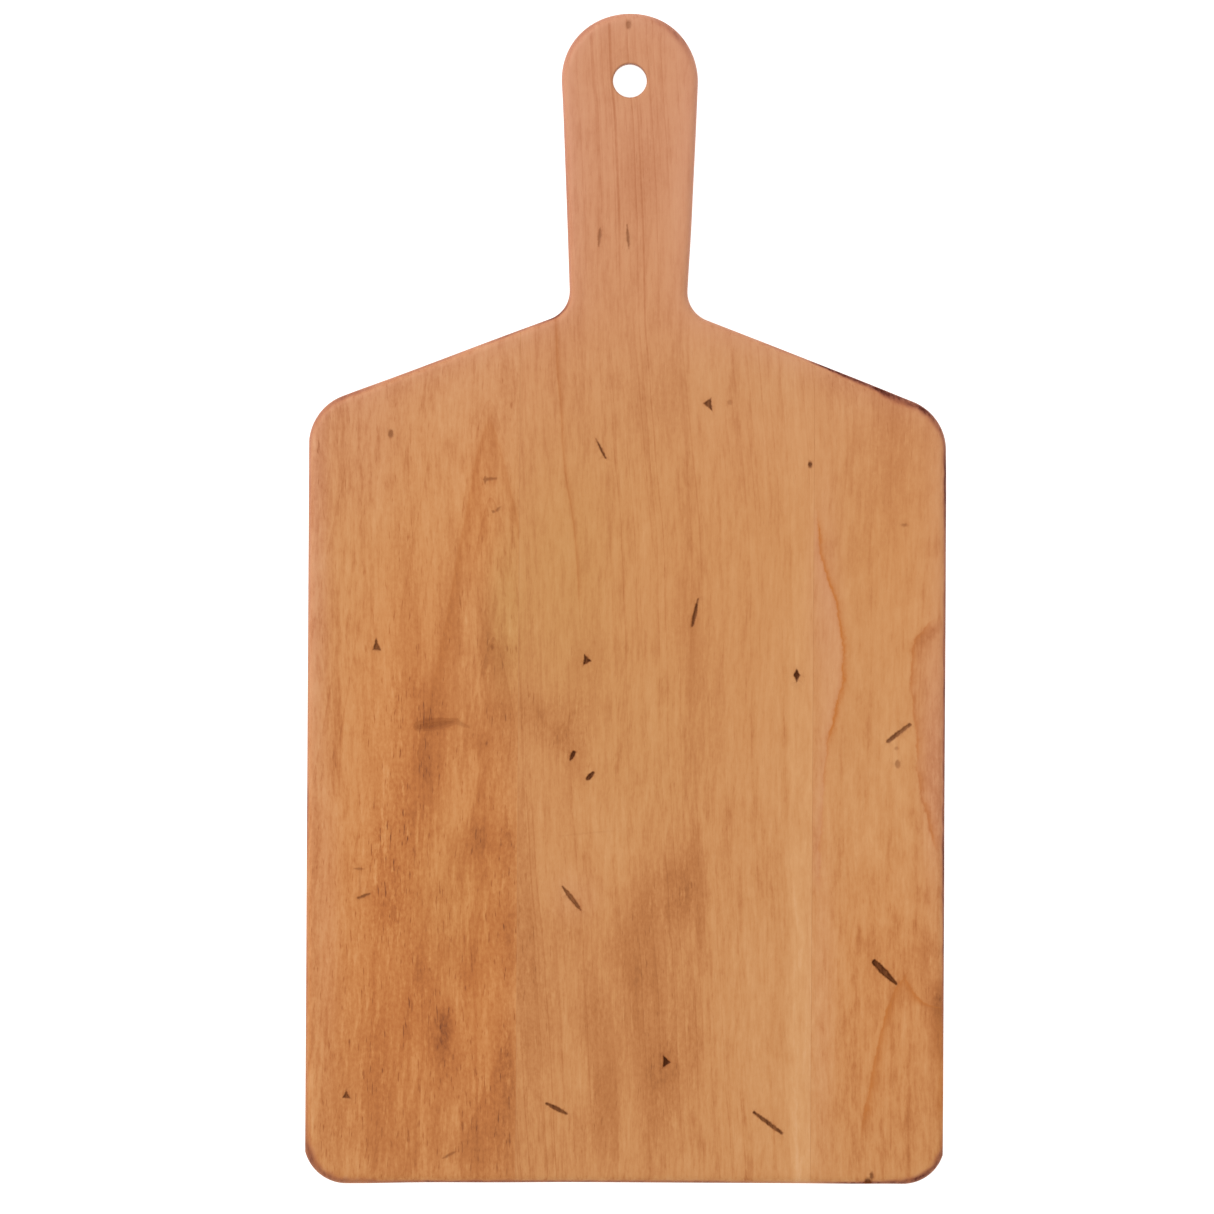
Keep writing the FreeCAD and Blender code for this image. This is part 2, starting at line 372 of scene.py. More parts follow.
def face_points(rim, hole, step, marked):
    """Points inside a face: a grid, with a finer one inside each mark on the cutting face."""
    box = (-WIDTH / 2, -LENGTH / 2, WIDTH / 2, LENGTH / 2)
    coarse = grid(box, step)
    fine = []
    if marked:
        for (inside, mark_box), _, _ in MARKS:
            wide = (mark_box[0] - MARK_MARGIN, mark_box[1] - MARK_MARGIN,
                    mark_box[2] + MARK_MARGIN, mark_box[3] + MARK_MARGIN)
            patch = grid(wide, MARK_STEP)
            fine.append(patch[inside(patch[:, 0], patch[:, 1]) > -MARK_MARGIN / 2])
            coarse = coarse[inside(coarse[:, 0], coarse[:, 1]) < -step / 4]
    coarse = coarse[clear_of(coarse, rim, step / 2) & clear_of(coarse, hole, step / 2)]
    points = np.concatenate([coarse] + fine)
    points = points[within(points, rim) & ~within(points, hole)]
    return points[clear_of(points, rim, MARK_STEP / 2)]


def close_face(mesh, rim, hole, step, marked):
    """Fills the space between the outer loop and the hole's loop with triangles."""
    height = rim[0].co.z
    loops = [np.array([vert.co.xy for vert in loop]) for loop in (rim, hole)]
    inner = face_points(*loops, step, marked)
    flat = np.concatenate(loops + [inner])
    verts = rim + hole + [mesh.verts.new((x, y, height)) for x, y in inner]
    edges = []
    for start, loop in ((0, rim), (len(rim), hole)):
        edges += [(start + n, start + (n + 1) % len(loop)) for n in range(len(loop))]
    _, _, triangles, origins, _, _ = delaunay_2d_cdt([Vector(p) for p in flat], edges, [], 1, 1e-6)
    in_hole = set(range(len(rim), len(rim) + len(hole)))
    for triangle in triangles:
        corners = [origins[corner][0] for corner in triangle]
        if not in_hole.issuperset(corners):
            mesh.faces.new([verts[corner] for corner in corners])


def press_marks(mesh):
    """Sinks the marks into the cutting face and gives it a faint hand-sanded wave."""
    upper = [vert for vert in mesh.verts if vert.co.z > THICKNESS - EDGE_RADIUS]
    x = np.array([vert.co.x for vert in upper])
    y = np.array([vert.co.y for vert in upper])
    depth, _ = mark_shape(x, y)
    wave = FACE_WAVE * (0.5 + 0.5 * wander(x, y, FACE_WAVE_LENGTH, 8.7))
    for vert, drop in zip(upper, depth + wave):
        vert.co.z -= drop


def whole_board():
    """The board as one closed mesh, in millimetres."""
    mesh = bmesh.new()
    points, normals = shaped_outline()
    rim = edge_band(mesh, points, normals, worn_radius(points))
    round_points, inward = hole_outline()
    hole = edge_band(mesh, round_points, inward, np.full(len(round_points), RIM_RADIUS))
    close_face(mesh, rim[0], hole[0], FACE_STEP, marked=True)
    close_face(mesh, rim[1], hole[1], BACK_STEP, marked=False)
    press_marks(mesh)
    bmesh.ops.recalc_face_normals(mesh, faces=mesh.faces)
    return mesh


def slice_board(board, left, right):
    """The part of the board between two upright planes across X, closed at both."""
    mesh = board.copy()
    for x, side in ((left, -1), (right, 1)):
        geometry = mesh.verts[:] + mesh.edges[:] + mesh.faces[:]
        done = bmesh.ops.bisect_plane(mesh, geom=geometry, plane_co=(x, 0, 0),
                                      plane_no=(side, 0, 0), clear_outer=True)
        rim = [item for item in done["geom_cut"] if isinstance(item, bmesh.types.BMEdge)]
        if rim:
            bmesh.ops.holes_fill(mesh, edges=rim)
    bmesh.ops.triangulate(mesh, faces=[face for face in mesh.faces if len(face.verts) > 4])
    bmesh.ops.recalc_face_normals(mesh, faces=mesh.faces)
    return mesh


# ---- Colour over the board

# Where moisture and knives stained each stave: across, along, half width, half height, how dark,
# and for some how far the spot leans to the right.
STAINS = {
    "left_stave": (
        # Upper half.
        (-66, 12, 5, 34, 0.18, 0.04), (-57, 16, 4, 40, 0.14, 0.12), (-88, 30, 7, 40, 0.12),
        (-116, 54, 4, 28, 0.36), (-45, 78, 5, 12, 0.3), (-45, 54, 4, 12, 0.22),
        (-86, 78, 5, 6, 0.24), (-85, 20, 4, 12, 0.22), (-64, 88, 6, 6, 0.12),
        (-52.5, -18, 1.8, 13, 0.4), (-66, -18, 6, 16, 0.1), (-46, -24, 5, 16, 0.22),
        # Lower half.
        (-70, -130, 40, 100, 0.19), (-79, -70, 6, 52, 0.2, 0.22), (-86, -66, 6, 62, 0.66, 0.04),
        (-85.5, -80, 5, 40, 0.26), (-95, -72, 5, 44, 0.48), (-45, -116, 4, 80, 0.16),
        (-74, -38, 8, 9, 0.24), (-72, -47.4, 8, 2.6, 0.3), (-73, -62, 5, 13, 0.34, 0.15),
        (-83, -78, 5, 11, 0.34), (-88, -94, 7, 14, 0.55), (-92, -117, 8, 8, 0.55),
        (-84, -112, 5, 16, 0.3), (-46, -43, 6, 6, 0.34), (-54, -55, 9, 4, 0.3),
        (-44, -54, 4, 12, 0.26), (-54, -90, 11, 8, 0.3), (-46, -93, 5, 7, 0.6),
        (-43, -104, 3, 26, 0.4), (-66, -111, 12, 3, 0.14), (-47, -120, 6, 5, 0.2),
        (-45, -131, 5, 14, 0.46), (-79, -142, 8, 24, 0.34, 0.1), (-98, -150, 7, 36, 0.26),
        (-106, -160, 4, 50, 0.22), (-88, -168, 6, 24, 0.18, 0.1), (-60, -140, 6, 9, 0.2),
        (-68, -163, 3.4, 9, 1.1, 0.15), (-63, -173, 9, 12, 0.3), (-44, -172, 4, 18, 0.8, -0.06),
        (-47, -188, 6, 14, 0.46), (-50, -205, 10, 14, 0.4), (-96, -186, 13, 26, 0.22),
        (-72, -206, 20, 10, 0.14), (-108, -202, 8, 15, 0.2), (-117, -80, 3, 14, 0.34),
        (-116, -100, 4, 14, 0.34), (-115, -55, 5, 14, 0.16), (-117, -140, 3, 34, 0.2),
    ),
    "centre_stave": (
        (-37, -42, 8, 6, 0.42), (-26, -50, 8, 8, 0.5), (-18, -62, 5, 8, 0.3),
        (-16, -36, 7, 26, 0.38), (-26, -40, 5, 12, 0.2), (15, -10, 5, 9, 0.16),
        (-34, -160, 5, 42, 0.36), (-25, -122, 5, 10, 0.18), (-5, -130, 4, 8, 0.24),
        (-5, 81, 4, 6, 0.2), (-38, -112, 5, 66, 0.48), (-36, -26, 5, 30, 0.14),
        (-25, -80, 5, 34, 0.2), (-27, -150, 4, 34, 0.34, 0.05), (-18, -126, 6, 16, 0.2),
        (-12, -155, 8, 18, 0.34), (3, -124, 5, 26, 0.2, 0.1), (16, -110, 8, 13, 0.46),
        (24, -105, 6, 15, 0.34), (10, -132, 9, 18, 0.22), (12, -166, 13, 36, 0.3),
        (24, -166, 4, 18, 0.2), (16, -188, 6, 18, 0.26), (14, -176, 5, 7, 0.34),
        (-8, -185, 6, 16, 0.4), (-14, -203, 10, 11, 0.3), (30, -35, 9, 30, 0.14),
        (22, -10, 4, 18, 0.16), (37, -110, 4, 40, 0.14), (10, 75, 13, 16, 0.12),
        (-27, 90, 3, 22, 0.16), (4, 158, 7, 17, 0.22), (-4, 204, 7, 8, 0.14),
    ),
    "right_stave": (
        (100, 58, 16, 26, 0.16), (92, 20, 12, 26, 0.08), (82, 83, 12, 7, 0.38),
        (112.4, -14, 2.6, 3.6, 1.1, 0.8), (118, -50, 6, 32, 0.16), (118, -150, 4, 7, 0.9),
        (114, -133, 5, 8, 0.34), (95, -145, 7, 12, 0.12), (117, -162, 4, 12, 0.24),
        (112, -190, 8, 24, 0.08),
    ),
}
# Where the wood stayed lighter, in the same form.
PALE_ZONES = (
    (64, 55, 5, 62, 0.26), (56, -170, 13, 58, 0.38), (54, -50, 6, 52, 0.26),
    (42, -60, 12, 74, 0.16), (77, -25, 4, 40, 0.26), (90, -30, 12, 44, 0.3),
    (86, -84, 7, 26, 0.66), (96, 10, 6, 44, 0.22), (47, 12, 6, 14, 0.22), (56, -18, 5, 14, 0.22),
    (115, -92, 4, 12, 0.6), (115, -176, 4, 8, 0.3), (-65, -146, 4, 9, 0.3),
    (-65, -85, 4, 8, 0.24), (73, -120, 5, 90, 0.28), (84, -132, 8, 30, 0.3),
    (104, -58, 7, 24, 0.2), (92, -100, 10, 18, 0.1), (-64, -78, 5, 13, 0.46),
    (-57, -160, 4, 13, 0.2), (-71, -102, 5, 12, 0.3), (-57, -114, 5, 9, 0.44),
    (-75, -122, 5, 18, 0.36), (-66, -30, 5, 9, 0.16), (4, -196, 4, 26, 0.22),
    (3, -96, 4, 28, 0.18), (64, -205, 7, 18, 0.26), (105, -170, 7, 16, 0.22),
    (55, -204, 12, 8, 0.1), (85, -25, 6, 12, 0.12), (65, -145, 7, 16, 0.16),
    (5, -72, 7, 12, 0.14), (-28, -104, 7, 18, 0.18), (-4, -92, 6, 13, 0.46),
    (-105, 10, 4, 52, 0.18), (-75, 20, 5, 44, 0.24), (-56, 30, 3, 22, 0.16),
    (15, 145, 6, 18, 0.2),
)
# Where the heartwood's rosy cast shows, in the same form.
ROSY_ZONES = (
    (74, 0, 6, 40, 0.35), (74, -150, 5, 60, 0.2), (116, -60, 5, 40, 0.45), (-117, 20, 5, 80, 0.4),
    (-112, -120, 5, 60, 0.2), (-100, 60, 14, 30, 0.2), (-19, -112, 9, 9, 0.2),
)
# Where each stave is more orange, and where the board is more olive, in the same form.
WARM_ZONES = {
    "left_stave": (
        (-84, -130, 40, 96, 0.88), (-50, -130, 12, 90, 0.44), (-86, -30, 24, 40, 0.3),
        (-54, 34, 8, 30, 0.45), (-75, 20, 22, 50, 0.24),
    ),
    "centre_stave": (),
    "right_stave": (
        (98, -150, 26, 64, 0.45), (104, 10, 16, 60, 0.2),
    ),
}
OLIVE_ZONES = (
    (46, 84, 36, 16, 0.22), (-26, 4, 22, 44, 0.5), (-46, -8, 7, 26, 0.5), (5, -50, 26, 40, 0.2),
    (-64, -112, 18, 34, 0.24), (-5, 60, 30, 40, 0.2),
)
# Place along the board where the rosy cast of the handle begins, and where it is full.
ROSE_START, ROSE_END = 10.0, 190.0

# Where the rounded edge is darkened, in the same form as the stains: partly dirt and finish
# gathered there, partly painted shade, heavier on the right and lower edges away from the key
# light.
EDGE_GRIME_AND_SHADE = (
    (-113, -212, 14, 14, 0.5), (-75, -219, 24, 5, 0.52), (-40, -219, 22, 5, 0.46),
    (0, -219, 26, 5, 0.48), (36, -219, 16, 5, 0.42), (62, -219, 10, 5, 0.22),
    (86, -219, 12, 5, 0.66), (105, -216, 10, 8, 0.62), (115, -208, 8, 9, 0.56),
    (119.5, -120, 5, 64, 0.62), (119.5, -20, 5, 64, 0.56), (119.5, 44, 5, 18, 0.6),
    (117, 68, 8, 10, 0.42), (109, 75, 11, 7, 0.66), (93, 80, 11, 6, 0.84), (77, 87, 10, 6, 0.86),
    (58, 93.5, 9, 6, 0.26), (-119.5, -82, 4, 14, 0.46), (-119.5, -170, 4, 44, 0.24),
    (-119.5, 0, 4, 80, 0.16), (-112, 70, 10, 14, 0.26), (-102, 77, 9, 6, 0.34),
    (-76, 87, 26, 7, 0.34), (-44, 99, 13, 7, 0.44), (-28, 107, 7, 6, 0.7),
    (-25, 150, 5, 40, 0.16), (17, 212, 10, 9, 0.34), (-18, 212, 12, 12, 0.24),
)
# Grime and painted shade that the whole rounded edge has.
EDGE_GRIME_AND_SHADE_EVERYWHERE = 0.08
# Width of the grime and painted shade on the edge, the share of it that an edge without wear
# has, and how far its border lies past that width.
EDGE_BAND, UNWORN_SHARE, GRIME_AND_SHADE_BORDER = 1.9, 0.45, 1.4
# How uneven that width is: each amount, and the length it varies over.
COARSE_PATCHES, COARSE_PATCH_LENGTH = 0.35, 9.0
FINE_PATCHES, FINE_PATCH_LENGTH = 0.3, 3.5
# How much less the grime and painted shade darken the wall than the edge, and where below the
# face that begins and is full.
WALL_FADE, WALL_FADE_FROM, WALL_FADE_TO = 0.72, 1.5, 5.5
# Width of the painted highlight along the rim of the cutting face.
RIM_HIGHLIGHT_BAND = 1.2
# Rosy cast beside the edge: its width, its strength, and where along the board it grows.
ROSY_BAND, ROSY_CAST = 5.0, 0.55
CAST_FROM, CAST_TO = -240.0, 20.0
# How far below the cutting face its marks and stains are gone, and where they begin to go.
FACE_ENDS, FACE_FADES = 4.0, 2.0
# Share of a stain that goes through to the walls and the underside.
STAIN_THROUGH = 0.4
# How rosy the painted highlight along the rim is.
RIM_HIGHLIGHT_ROSE = 0.5


def blotches(x, y, spots):
    """Sum of oval spots at each point. A sixth number says how far a spot leans to the right."""
    total = np.zeros_like(x)
    for cx, cy, across, along, amount, *lean in spots:
        shift = sum(lean) * (y - cy)
        away = np.hypot((x - cx - shift) / across, (y - cy) / along)
        total += amount * np.exp(-away ** 2.5)
    return total


def edge_layers(x, y, z, tree):
    """Edge grime with painted shade, a painted rim highlight, and the rosy cast, at each point."""
    away = np.array([tree.find((px, py, 0))[2] for px, py in zip(x, y)])
    # Grime and painted shade on the rounded edge, heavier on the right and lower edges that face
    # away from the key light.
    edge_darkening = np.clip(blotches(x, y, EDGE_GRIME_AND_SHADE) + EDGE_GRIME_AND_SHADE_EVERYWHERE, 0, 1)
    patchy = (1 + COARSE_PATCHES * wander(x, y, COARSE_PATCH_LENGTH, 12.4)
              + FINE_PATCHES * wander(x, y, FINE_PATCH_LENGTH, 4.9))
    worn = around(np.stack([x, y], axis=1), WORN_EDGES)
    reach = EDGE_BAND * (UNWORN_SHARE + worn) * patchy
    below = THICKNESS - z
    wall_fade = WALL_FADE * ease((below - WALL_FADE_FROM) / (WALL_FADE_TO - WALL_FADE_FROM))
    grime_and_shade = edge_darkening * ease(GRIME_AND_SHADE_BORDER - away / reach) * (1 - wall_fade)
    # Painted highlight along the rim of the cutting face, where the edge is not darkened.
    rim_highlight = ease(1 - away / RIM_HIGHLIGHT_BAND) * (1 - np.clip(below / EDGE_RADIUS, 0, 1)) * (1 - edge_darkening)
    cast = (ROSY_CAST * np.exp(-away / ROSY_BAND)
            * ease((y - CAST_FROM) / (CAST_TO - CAST_FROM)))
    return np.clip(grime_and_shade, 0, 1), rim_highlight, cast


def paint(mesh, stave, tree):
    """Stores each layer of colour on a stave as one number at each vertex."""
    count = len(mesh.vertices)
    place = np.zeros(count * 3)
    mesh.vertices.foreach_get("co", place)
    x, y, z = place.reshape(count, 3).T / MM
    on_top = ease((z - THICKNESS + FACE_ENDS) / (FACE_ENDS - FACE_FADES))
    edge, rim_highlight, cast = edge_layers(x, y, z, tree)
    layers = {
        "mark": mark_shape(x, y)[1] * on_top,
        "stain": (1 - np.exp(-blotches(x, y, STAINS[stave])))
                 * (STAIN_THROUGH + (1 - STAIN_THROUGH) * on_top),
        "pale": blotches(x, y, PALE_ZONES) * on_top,
        # The rose layer also carries the painted highlight along the rim.
        "rose": ease((y - ROSE_START) / (ROSE_END - ROSE_START)) + RIM_HIGHLIGHT_ROSE * rim_highlight
                + blotches(x, y, ROSY_ZONES) + cast,
        "warm": np.minimum(blotches(x, y, WARM_ZONES[stave]), 1),
        "olive": blotches(x, y, OLIVE_ZONES),
        # Grime and painted shade on the rounded edge.
        "edge": edge,
    }
    for name, values in layers.items():
        layer = mesh.attributes.new(name, "FLOAT", "POINT")
        layer.data.foreach_set("value", values.astype(np.float32))


# ---- Materials

# Share of the light that a colour given below reflects, so that it comes out as given under
# lights that are a little brighter than one. Colours are 8-bit screen values.
REFLECTANCE = 0.87

GOLDEN_TONES = ((0, (114, 62, 27)), (0.2, (162, 96, 43)), (0.34, (187, 117, 60)),
                (0.42, (198, 130, 73)), (0.5, (206, 141, 83)), (0.75, (218, 159, 103)),
                (1, (230, 178, 130)))
ORANGE_TONES = ((0, (114, 54, 16)), (0.2, (167, 90, 32)), (0.34, (192, 112, 49)),
                (0.42, (202, 126, 62)), (0.5, (211, 138, 75)), (0.75, (222, 157, 98)),
                (1, (232, 176, 126)))
OLIVE_TONES = ((0, (104, 64, 26)), (0.34, (180, 116, 56)), (0.5, (199, 141, 77)),
               (0.75, (212, 160, 98)), (1, (224, 180, 124)))
ROSY_TONES = ((0, (120, 62, 48)), (0.34, (190, 120, 94)), (0.5, (211, 147, 124)),
              (0.75, (222, 166, 142)), (1, (232, 184, 160)))
GLUE_TONES = ((0, (176, 112, 62)), (1, (206, 142, 88)))
FLOOR_TONES = ((0, (180, 180, 179)), (1, (190, 190, 190)))
RESIN = (196, 116, 46)
# Colours of the grime and painted shade on the rounded edge, thin and thick.
GRIME_AND_SHADE_THIN, GRIME_AND_SHADE_THICK = (178, 94, 74), (86, 40, 28)
INK_THIN, INK_THICK = (158, 84, 40), (58, 28, 10)
# How much faster a stain hides what is under it than it turns dark.
HIDING = 1.25
# Gloss of a clean surface.
SHINE = 0.3


def srgb(colour):
    """Linear colour with alpha, as the surface reflects it, from 8-bit screen values."""
    def linear(value):
        share = value / 255
        return share / 12.92 if share <= 0.04045 else ((share + 0.055) / 1.055) ** 2.4
    return tuple(linear(value) * REFLECTANCE for value in colour) + (1.0,)


class Graph:
    """Shader nodes of one material. Each method adds a node or more and returns an output."""

    def __init__(self, name):
        self.material = bpy.data.materials.new(name)
        self.material.use_nodes = True
        self.nodes = self.material.node_tree.nodes
        self.links = self.material.node_tree.links
        self.shader = self.nodes["Principled BSDF"]

    def put(self, socket, value):
        """Links an output to a socket, or sets the socket to a constant."""
        if isinstance(value, bpy.types.NodeSocket):
            self.links.new(value, socket)
        else:
            socket.default_value = value

    def node(self, kind, inputs, **settings):
        """New node with the given settings, and with its inputs linked or set."""
        node = self.nodes.new("ShaderNode" + kind)
        for name, value in settings.items():
            setattr(node, name, value)
        for name, value in inputs.items():
            self.put(node.inputs[name], value)
        return node

    def calc(self, operation, *values):
        """Math node."""
        return self.node("Math", dict(enumerate(values)), operation=operation).outputs[0]

    def chain(self, operation, values):
        """Result of an operation on several values, one after the other."""
        result = values[0]
        for value in values[1:]:
            result = self.calc(operation, result, value)
        return result

    def total(self, *values):
        """Sum of several values."""
        return self.chain("ADD", values)

    def times(self, *values):
        """Product of several values."""
        return self.chain("MULTIPLY", values)

    def weighted(self, *pairs):
        """Sum of several values, each given with its weight."""
        return self.total(*[self.times(*pair) for pair in pairs])

    def place(self):
        """Place in the board's own frame, in millimetres, as a vector and as X, Y and Z."""
        coordinates = self.node("TexCoord", {}).outputs["Object"]
        scaled = self.node("VectorMath", {"Vector": coordinates, "Scale": 1 / MM},
                           operation="SCALE")
        return scaled.outputs[0], self.node("SeparateXYZ", {0: scaled.outputs[0]}).outputs

    def vector(self, x, y, z):
        """Vector of three values."""
        return self.node("CombineXYZ", {0: x, 1: y, 2: z}).outputs[0]

    def noise(self, place, across, along, detail=2.0, roughness=0.55):
        """Noise from -0.5 to 0.5 with the given cycles per millimetre across and along."""
        stretch = self.node("VectorMath", {0: place, 1: (across, along, across)},
                            operation="MULTIPLY")
        node = self.node("TexNoise", {"Vector": stretch.outputs[0], "Scale": 1.0,
                                      "Detail": detail, "Roughness": roughness})
        return self.calc("SUBTRACT", node.outputs["Fac"], 0.5)

    def step(self, value, low, high):
        """Smooth step from 0 at the low value to 1 at the high one."""
        node = self.node("MapRange", {"Value": value, "From Min": low, "From Max": high},
                         interpolation_type="SMOOTHSTEP")
        return node.outputs["Result"]

    def attribute(self, name):
        """Number stored at the mesh's vertices."""
        return self.node("Attribute", {}, attribute_name=name).outputs["Fac"]

    def ramp(self, value, stops):
        """Colour ramp of 8-bit screen colours."""
        node = self.node("ValToRGB", {0: value})
        elements = node.color_ramp.elements
        while len(elements) < len(stops):
            elements.new(0.5)
        for element, (position, colour) in zip(elements, stops):
            element.position = position
            element.color = srgb(colour)
        return node.outputs["Color"]

    def mix(self, share, first, second):
        """Blend of two colours."""
        return self.node("Mix", {"Factor": share, "A": first, "B": second},
                         data_type="RGBA").outputs["Result"]

    def layer(self, amount, under, thin, thick):
        """Stain over a colour, which hides it more and turns darker as its amount grows."""
        stain = self.mix(amount, srgb(thin), srgb(thick))
        return self.mix(self.calc("MINIMUM", self.times(amount, HIDING), 1.0), under, stain)

    def offset(self, x, y, line):
        """How far to the right of a line each place lies. The line's points are (x, y)."""
        line = sorted(line, key=lambda point: point[1])
        left, right = min(px for px, _ in line) - 1, max(px for px, _ in line) + 1
        bottom, top = line[0][1], line[-1][1]
        share = self.calc("DIVIDE", self.calc("SUBTRACT", y, bottom), top - bottom)
        node = self.node("FloatCurve", {"Value": share})
        points = node.mapping.curves[0].points
        while len(points) < len(line):
            points.new(0.5, 0.5)
        for point, (px, py) in zip(points, line):
            point.location = ((py - bottom) / (top - bottom), (px - left) / (right - left))
        node.mapping.extend = "HORIZONTAL"
        node.mapping.update()
        level = self.calc("MULTIPLY_ADD", node.outputs["Value"], right - left, left)
        return self.calc("SUBTRACT", x, level)

    def fading(self, offset, left, right):
        """Line that is 1 where the offset is 0 and fades over its own width to each side."""
        away = self.calc("MAXIMUM", self.calc("DIVIDE", offset, right),
                         self.calc("DIVIDE", offset, -left))
        return self.calc("EXPONENT", self.times(away, -1.0))

    def finish(self, colour, roughness, height, depth, shine=SHINE):
        """Connects the surface's colour, roughness, bump and shine, and returns the material."""
        self.put(self.shader.inputs["Base Color"], colour)
        self.put(self.shader.inputs["Roughness"], roughness)
        self.put(self.shader.inputs["Specular IOR Level"], shine)
        bump = self.node("Bump", {"Distance": depth * MM, "Height": height})
        self.put(self.shader.inputs["Normal"], bump.outputs["Normal"])
        return self.material


# Length over which a growth line fades out at its ends, and an arch at its foot and its top.
LINE_FADE, ARCH_FADE, ARCH_TOP_FADE = 12.0, 16.0, 2.5
# How far an arch's line fades outward, and where across that line its inside begins.
ARCH_OUTER_FADE = 0.35
HEART_FROM, HEART_TO = -0.3, 0.8
# Yearly rings: how uneven their spacing is, in rings, how thin each is, and what breaks them up.
RING_UNEVENNESS, RING_WANDER = 2.2, 0.45
RING_THINNESS = 7.0
RING_PATCHES, RING_PATCH_EDGE = (0.05, 0.008, 1.0), 0.22


def grown_line(graph, x, y, line, left, right, fade=LINE_FADE):
    """Edge of one year's growth along the given points, faded out at both ends."""
    bottom = min(py for _, py in line)
    top = max(py for _, py in line)
    shape = graph.fading(graph.offset(x, y, line), left, right)
    return graph.times(shape, graph.times(graph.step(y, bottom, bottom + fade),
                                          graph.step(y, top, top - fade)))


def grown_arch(graph, x, y, left_arm, right_arm, soft):
    """Pointed arch of growth between two arms that meet at its top: the line, and its inside."""
    heights = [py for _, py in left_arm + right_arm]
    bottom, top = min(heights), max(heights)
    inside = graph.calc("MINIMUM", graph.offset(x, y, left_arm),
                        graph.times(graph.offset(x, y, right_arm), -1.0))
    below = graph.times(graph.step(y, bottom, bottom + ARCH_FADE),
                        graph.step(y, top + ARCH_TOP_FADE, top))
    line = graph.times(graph.fading(inside, ARCH_OUTER_FADE, soft), below)
    return line, graph.times(graph.step(inside, HEART_FROM, HEART_TO), below)


def yearly_rings(graph, radius, spacing, place):
    """Thin darker lines at uneven distances, each with one soft and one sharp side."""
    uneven = graph.noise(graph.vector(radius, 0.0, 0.0), RING_WANDER / spacing, 0.0, 1.0)
    turns = graph.total(graph.calc("DIVIDE", radius, spacing),
                        graph.times(uneven, RING_UNEVENNESS))
    late = graph.calc("POWER", graph.calc("FRACT", turns), RING_THINNESS)
    patches = graph.noise(place, *RING_PATCHES)
    return graph.times(late, graph.step(patches, -RING_PATCH_EDGE, RING_PATCH_EDGE))


# Growth of the left stave. The cone's axis along X and Z, and how fast the cone widens.
LEFT_CONE = (-51.5, THICKNESS - 3.0, 0.2)
LEFT_ARCH_RADIUS = 15.9
LEFT_RING_SPACING = 9.0
LOWER_ARCH = (((-65.1, -219), (-55.5, -190), (-43.9, -164)),
              ((-40.6, -219), (-42, -185), (-43.5, -164)))
# A faint band that crosses the left joint has one part on each side of it.
BAND_IN_LEFT = ((-53.1, -15.9), (-40, -34))
BAND_IN_CENTRE = ((-40, -34), (-19.1, -60.7))
BAND_FADE = (1.5, 2.0)
# Growth of the centre stave: how far its rings lean along Y and Z, and three plain lines.
CENTRE_LEAN = (0.055, -0.6)
CENTRE_RING_SPACING, FINE_RING_SPACING = 6.5, 2.7
MAIN_LINE = ((-27.6, 111.6), (-26.3, 81.6), (-24.3, 49.1), (-21.9, 33), (-19.9, 12.7),
             (-18.3, -7.5))
SECOND_LINE = ((-11.4, 150), (-9.5, 60), (-4, -30), (-1, -90))
THIRD_LINE = ((20.5, 110), (22.5, 20), (26, -70), (30, -150))
# Pale strip beside the right joint: where it begins and is full, across and downwards.
STRIP_ACROSS, STRIP_DOWN = (60.5, 64.5), (90, -120)
# Growth of the right stave.
RIGHT_LEAN = (-0.03, 0.8)
RIGHT_RING_SPACING = 7.5
WAVY_LINE = ((70.6, 36), (72.4, 22), (74.5, 12), (80.5, -8), (82.2, -26.4), (80.0, -40),
             (76.3, -60), (74.8, -80), (73.7, -112.6))
WAVY_WHOLE = (-75, -45)
OUTER_LINE = ((119.4, -6), (112.5, -12), (109.0, -18.8), (108.9, -32), (111.2, -50),
              (112.3, -66), (115.5, -82), (119.2, -95))
OUTER_LINE_FADE = 5.0
SPIRE = (((89, -205), (91.9, -190), (95.5, -172), (98.6, -158), (101.5, -148.5),
          (104.3, -143.6), (106.3, -142)),
         ((122, -153), (118, -152.4), (114.3, -151.3), (110.6, -148), (108.4, -144.6),
          (106.5, -142)))


def left_growth(graph, place, x, y, z):
    """Rings of the left stave: tall arches about the cone that its growth makes."""
    pith_x, pith_z, taper = LEFT_CONE
    across = graph.calc("SUBTRACT", x, pith_x)
    deep = graph.calc("SUBTRACT", z, pith_z)
    away = graph.calc("SQRT", graph.weighted((across, across), (deep, deep)))
    radius = graph.calc("MULTIPLY_ADD", y, taper, away)
    rings = yearly_rings(graph, radius, LEFT_RING_SPACING, place)
    from_arch = graph.calc("SUBTRACT", LEFT_ARCH_RADIUS, radius)
    arch = graph.times(graph.fading(from_arch, 0.5, 3.0), graph.step(y, -110, 0))
    heart = graph.times(graph.step(from_arch, -0.5, 1.0), graph.step(y, -90, 20))
    lower, lower_heart = grown_arch(graph, x, y, *LOWER_ARCH, 2.0)
    band = grown_line(graph, x, y, BAND_IN_LEFT, *BAND_FADE)
    tone = graph.weighted((rings, -0.08), (arch, -0.09), (heart, -0.04), (lower, -0.06),
                          (lower_heart, -0.02), (band, -0.04))
    return tone, graph.times(arch, 0.25), 0.0


